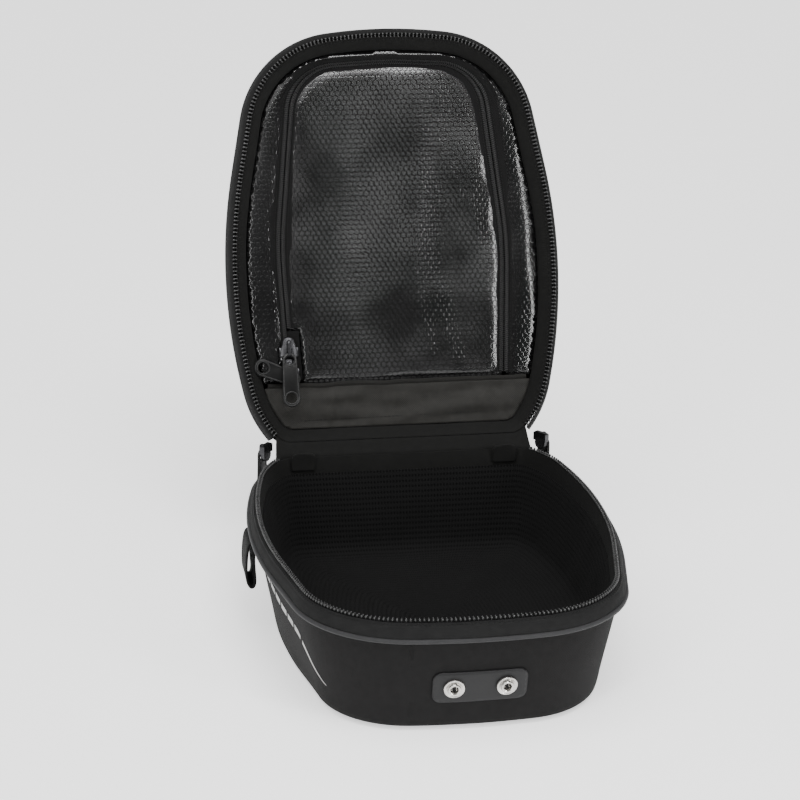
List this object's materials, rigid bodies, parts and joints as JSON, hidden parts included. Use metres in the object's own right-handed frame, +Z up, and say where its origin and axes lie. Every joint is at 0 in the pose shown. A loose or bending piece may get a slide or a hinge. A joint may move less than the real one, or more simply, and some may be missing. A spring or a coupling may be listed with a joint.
{
  "type": "motorcycle tank bag",
  "caption": "Moulded motorcycle tank bag with a zip-round lid hinged at the rear, a clear zipped map pocket inside the lid, side webbing loops and a snap patch.",
  "frame": {"origin": "middle of the flat underside, on the surface it stands on", "axes": "+Z up, +Y from the snap patch towards the lid's hinge, +X to the right when facing the hinge"},
  "size_m": [0.2268, 0.3826, 0.3306],
  "materials": {
    "shell_fabric": "woven, matt",
    "knit_lining": "knitted mesh",
    "board": "smooth sheet",
    "grip_rubber": "fine non-slip texture",
    "piping": "reflective grey, slightly glossy",
    "facing": "smooth bonded fabric",
    "zip_tape": "woven tape",
    "zip_teeth": "moulded, slightly glossy",
    "patch_rubber": "smooth",
    "snap_metal": "polished nickel",
    "webbing": "woven webbing",
    "slider_metal": "dark gunmetal coat",
    "pull_metal": "dark coat",
    "film": "clear film with a honeycomb net",
    "nylon": "coarse woven nylon",
    "binding": "folded tape"
  },
  "bodies": {
    "base": {"base_shell": "shell_fabric", "base_lining": "knit_lining", "floor_board": "board", "base_pad": "grip_rubber", "rim_band": "shell_fabric", "rim_piping": "piping", "rim_facing": "facing", "zip_tape_lower": "zip_tape", "zip_chain_lower": "zip_teeth", "snap_patch": "patch_rubber", "snap_socket_left": "snap_metal", "snap_socket_right": "snap_metal", "snap_cap_left": "snap_metal", "snap_cap_right": "snap_metal", "side_loop_left": "webbing", "side_loop_right": "webbing", "hinge_gusset_lower": "zip_tape", "zip_end_tab_left": "facing", "zip_end_tab_right": "facing", "main_slider_left": "slider_metal", "main_slider_right": "slider_metal"},
    "main_pull_left": {"main_pull_left": "pull_metal"},
    "main_pull_right": {"main_pull_right": "pull_metal"},
    "lid": {"lid_shell": "shell_fabric", "lid_lining": "knit_lining", "lid_band": "shell_fabric", "lid_piping": "piping", "lid_facing": "facing", "zip_tape_upper": "zip_tape", "zip_chain_upper": "zip_teeth", "hinge_gusset_upper": "zip_tape", "film_frame": "film", "pocket_tape_outer": "zip_tape", "pocket_coil_outer": "zip_teeth", "nylon_panel": "nylon", "panel_binding": "binding", "pocket_slider_lower": "slider_metal"},
    "pocket_flap": {"pocket_film": "film", "pocket_tape_inner": "zip_tape", "pocket_coil_inner": "zip_teeth"},
    "pocket_slider": {"pocket_slider_upper": "slider_metal"},
    "pocket_pull_upper": {"pocket_pull_upper": "pull_metal"},
    "pocket_pull_lower": {"pocket_pull_lower": "pull_metal"}
  },
  "joints": [
    {"name": "lid_hinge", "type": "hinge", "parent": "base", "child": "lid", "pos_m": [0, 0.137, 0.076], "axis": [1, 0, 0], "range_deg": [-60, 109]},
    {"name": "pocket_flap_hinge", "type": "hinge", "parent": "lid", "child": "pocket_flap", "pos_m": [0, 0.15907, 0.11367], "axis": [-1, 0, 0], "range_deg": [-120, 0]},
    {"name": "pocket_slider_slide", "type": "slide", "parent": "lid", "child": "pocket_slider", "axis": [-0.0459, 0.3252, 0.9445], "range_m": [0, 0.09]},
    {"name": "pocket_pull_upper_hinge", "type": "hinge", "parent": "pocket_slider", "child": "pocket_pull_upper", "pos_m": [-0.07147, 0.16078, 0.13402], "axis": [1, 0, 0], "range_deg": [-150, 0]},
    {"name": "pocket_pull_lower_swivel", "type": "hinge", "parent": "lid", "child": "pocket_pull_lower", "pos_m": [-0.07147, 0.15728, 0.1183], "axis": [0, -0.9455, 0.3256], "range_deg": [-25, 0]},
    {"name": "main_pull_left_hinge", "type": "hinge", "parent": "base", "child": "main_pull_left", "pos_m": [-0.09267, 0.13128, 0.0804], "axis": [-0.6159, -0.7878, 0], "range_deg": [-130, 0]},
    {"name": "main_pull_right_hinge", "type": "hinge", "parent": "base", "child": "main_pull_right", "pos_m": [0.09267, 0.13128, 0.0804], "axis": [-0.6159, 0.7878, 0], "range_deg": [-130, 0]}
  ]
}
